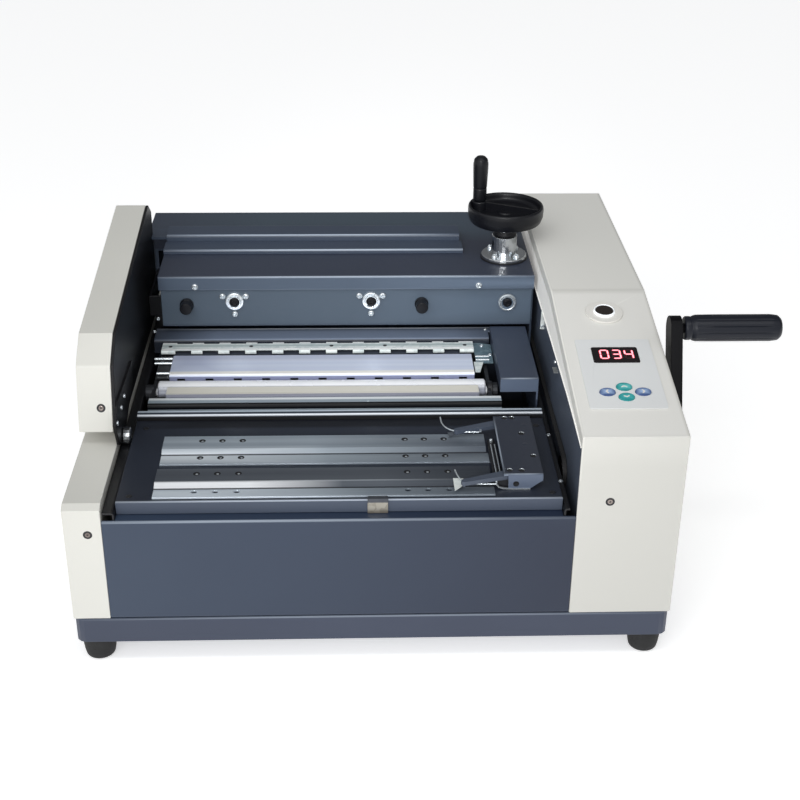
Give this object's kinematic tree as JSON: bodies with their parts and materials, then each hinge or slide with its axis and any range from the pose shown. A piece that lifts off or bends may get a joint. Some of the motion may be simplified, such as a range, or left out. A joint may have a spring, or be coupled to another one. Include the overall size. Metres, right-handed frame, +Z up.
{
  "type": "thermal binding machine",
  "caption": "Desktop hot-melt binder: crank-driven book clamp on rails, glue trough with roller, cover table with nip jaws, sloping control face and handwheel.",
  "frame": {"origin": "on the floor under the middle of the bounding box, crank grip and handwheel included", "axes": "+X to the operator's right along the book's spine, +Y away from the operator, +Z up"},
  "size_m": [0.722, 0.569, 0.397],
  "materials": {
    "blue_paint": "satin blue-grey powder coat",
    "dark_paint": "satin dark powder coat",
    "ivory_paint": "satin ivory powder coat",
    "black_plate": "black coat",
    "rubber": "matt",
    "bare_steel": "ground",
    "zinc_steel": "zinc plated",
    "chrome": "bright",
    "aluminium": "satin",
    "black_plastic": "moulded black",
    "membrane": "printed film",
    "teal_key": "gloss",
    "blue_key": "gloss",
    "white_plastic": "gloss"
  },
  "bodies": {
    "housing": {"base_tray": "blue_paint", "foot_front_left": "rubber", "foot_front_right": "rubber", "foot_back_left": "rubber", "foot_back_right": "rubber", "front_panel": "blue_paint", "back_panel": "blue_paint", "left_cover": "ivory_paint", "right_cover": "ivory_paint", "right_side_plate": "dark_paint", "left_rail_plate": "dark_paint", "right_rail_plate": "dark_paint", "mid_wall": "blue_paint", "deck_plate": "blue_paint", "deck_tab": "zinc_steel", "nip_rear_bar": "bare_steel", "nip_rear_strip": "bare_steel", "glue_tank": "aluminium", "front_angle": "zinc_steel", "front_plate": "bare_steel", "doctor_plate": "aluminium", "rear_wall": "dark_paint", "comb_guard": "zinc_steel", "end_box": "blue_paint", "drive_belt": "rubber", "control_label": "membrane", "display_window": "black_plastic", "switch_ring": "white_plastic"},
    "clamp": {"carriage_body": "blue_paint", "guide_rod_left": "chrome", "guide_rod_right": "chrome", "housing_top": "blue_paint", "rear_jaw": "blue_paint", "wheel_bearing": "chrome", "arm_cover": "ivory_paint", "arm_plate": "black_plate"},
    "clamp_jaw": {"front_jaw": "blue_paint"},
    "screw": {"lead_screw": "chrome"},
    "wheel": {"handwheel": "black_plastic", "wheel_shaft": "chrome"},
    "wheel_grip": {"wheel_handle": "black_plastic"},
    "roller_arm": {"arm_roller": "chrome"},
    "roller_left_rear": {"left_rear_roller": "chrome"},
    "roller_right_front": {"right_front_roller": "chrome"},
    "roller_right_rear": {"right_rear_roller": "chrome"},
    "crank": {"crank_shaft": "chrome", "crank_arm": "black_plate"},
    "crank_handle": {"crank_grip": "black_plastic"},
    "idler": {"idler_pulley": "chrome"},
    "glue_drum": {"glue_roller": "chrome"},
    "nip": {"nip_front_bar": "bare_steel", "nip_front_strip": "bare_steel"},
    "register": {"register_plate": "blue_paint"},
    "lever_front": {"register_lever_front": "blue_paint"},
    "lever_rear": {"register_lever_rear": "blue_paint"},
    "up_key": {"key_up": "teal_key"},
    "down_key": {"key_down": "teal_key"},
    "left_key": {"key_left": "blue_key"},
    "right_key": {"key_right": "blue_key"},
    "button": {"switch_button": "black_plastic"}
  },
  "joints": [
    {"name": "clamp_slide", "type": "slide", "parent": "housing", "child": "clamp", "axis": [0, -1, 0], "range_m": [0, 0.378]},
    {"name": "crank_turn", "type": "hinge", "parent": "housing", "child": "crank", "pos_m": [0.25, -0.18655, 0.1656], "axis": [1, 0, 0], "range_deg": [0, 1228]},
    {"name": "idler_turn", "type": "hinge", "parent": "housing", "child": "idler", "pos_m": [0.1356, 0.2565, 0.1656], "axis": [1, 0, 0], "range_deg": [0, 1228]},
    {"name": "crank_grip_spin", "type": "hinge", "parent": "crank", "child": "crank_handle", "pos_m": [0.31, -0.1295, 0.3], "axis": [1, 0, 0], "continuous": true},
    {"name": "handwheel_turn", "type": "hinge", "parent": "clamp", "child": "wheel", "pos_m": [0.10126, 0.1285, 0.33], "axis": [0, 0, 1], "range_deg": [0, 1980]},
    {"name": "screw_turn", "type": "hinge", "parent": "clamp", "child": "screw", "pos_m": [0.10126, 0.17, 0.2416], "axis": [0, 1, 0], "range_deg": [0, 1980]},
    {"name": "jaw_slide", "type": "slide", "parent": "clamp", "child": "clamp_jaw", "axis": [0, -1, 0], "range_m": [0, 0.022]},
    {"name": "wheel_handle_spin", "type": "hinge", "parent": "wheel", "child": "wheel_grip", "pos_m": [0.07135, 0.14245, 0.37], "axis": [0, 0, 1], "continuous": true},
    {"name": "arm_roller_spin", "type": "hinge", "parent": "clamp", "child": "roller_arm", "pos_m": [-0.316, -0.1445, 0.1873], "axis": [1, 0, 0], "continuous": true},
    {"name": "left_rear_roller_spin", "type": "hinge", "parent": "clamp", "child": "roller_left_rear", "pos_m": [-0.316, 0.2455, 0.1873], "axis": [1, 0, 0], "continuous": true},
    {"name": "right_front_roller_spin", "type": "hinge", "parent": "clamp", "child": "roller_right_front", "pos_m": [0.1275, 0.0982, 0.1873], "axis": [1, 0, 0], "continuous": true},
    {"name": "right_rear_roller_spin", "type": "hinge", "parent": "clamp", "child": "roller_right_rear", "pos_m": [0.1275, 0.2565, 0.1873], "axis": [1, 0, 0], "continuous": true},
    {"name": "glue_roller_spin", "type": "hinge", "parent": "housing", "child": "glue_drum", "pos_m": [-0.114, -0.0442, 0.185], "axis": [1, 0, 0], "continuous": true},
    {"name": "nip_slide", "type": "slide", "parent": "housing", "child": "nip", "axis": [0, 1, 0], "range_m": [0, 0.01]},
    {"name": "register_slide", "type": "slide", "parent": "housing", "child": "register", "axis": [1, 0, 0], "range_m": [0, 0.014]},
    {"name": "lever_front_swing", "type": "hinge", "parent": "register", "child": "lever_front", "pos_m": [0.075, -0.2455, 0.196], "axis": [0, 0, 1], "range_deg": [-20, 0], "stiffness_Nm_per_rad": 0.02},
    {"name": "lever_rear_swing", "type": "hinge", "parent": "register", "child": "lever_rear", "pos_m": [0.075, -0.1425, 0.196], "axis": [0, 0, 1], "range_deg": [-20, 0], "stiffness_Nm_per_rad": 0.02},
    {"name": "key_up_press", "type": "slide", "parent": "housing", "child": "up_key", "axis": [0, 0.1575, -0.9875], "range_m": [0, 0.0008], "stiffness_N_per_m": 300},
    {"name": "key_down_press", "type": "slide", "parent": "housing", "child": "down_key", "axis": [0, 0.1575, -0.9875], "range_m": [0, 0.0008], "stiffness_N_per_m": 300},
    {"name": "key_left_press", "type": "slide", "parent": "housing", "child": "left_key", "axis": [0, 0.1575, -0.9875], "range_m": [0, 0.0008], "stiffness_N_per_m": 300},
    {"name": "key_right_press", "type": "slide", "parent": "housing", "child": "right_key", "axis": [0, 0.1575, -0.9875], "range_m": [0, 0.0008], "stiffness_N_per_m": 300},
    {"name": "button_press", "type": "slide", "parent": "housing", "child": "button", "axis": [0, 0.1575, -0.9875], "range_m": [0, 0.003], "stiffness_N_per_m": 300}
  ],
  "couplings": [
    {"joint": "crank_turn", "follows": "clamp_slide", "rad_per_m": 56.657},
    {"joint": "idler_turn", "follows": "clamp_slide", "rad_per_m": 56.657},
    {"joint": "screw_turn", "follows": "handwheel_turn", "ratio": 1},
    {"joint": "jaw_slide", "follows": "handwheel_turn", "m_per_rad": 0.00063662}
  ]
}
